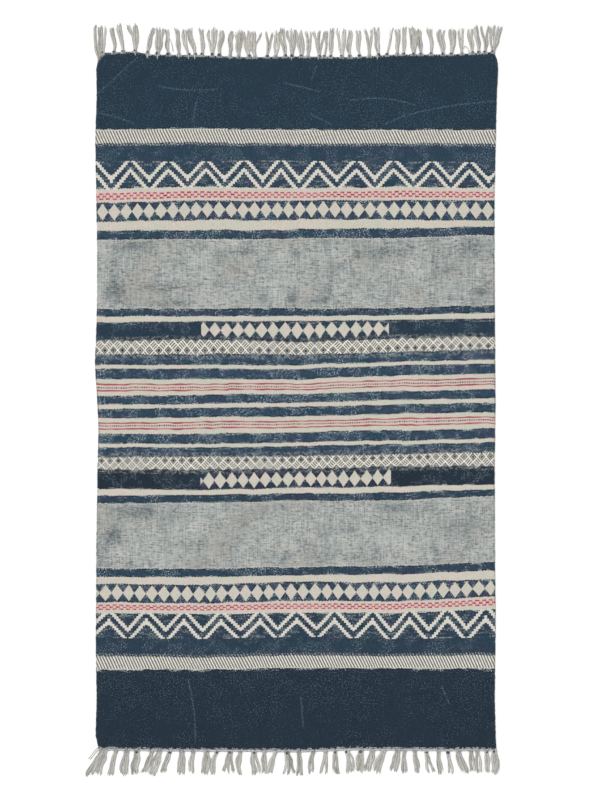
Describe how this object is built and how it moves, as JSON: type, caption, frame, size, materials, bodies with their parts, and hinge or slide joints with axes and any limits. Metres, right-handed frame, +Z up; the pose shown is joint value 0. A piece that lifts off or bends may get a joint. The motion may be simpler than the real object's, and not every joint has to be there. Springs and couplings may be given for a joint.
{
  "type": "printed cotton rug",
  "caption": "Flat woven cotton rug, block printed in navy bands, zigzags, diamonds and lozenges on cream, with tied tassels at both ends.",
  "frame": {"origin": "on the floor, under the middle of the cloth", "axes": "+Y along the rug towards the end at the top of the picture, +X to the right of the picture, +Z up from the floor"},
  "size_m": [0.7342, 1.3239, 0.0048],
  "materials": {
    "printed_cloth": "matt woven cotton, block printed",
    "undyed_yarn": "matt undyed cotton yarn"
  },
  "bodies": {
    "root": {"rug_cloth": "printed_cloth", "fringe_top": "undyed_yarn", "fringe_bottom": "undyed_yarn"}
  },
  "joints": []
}
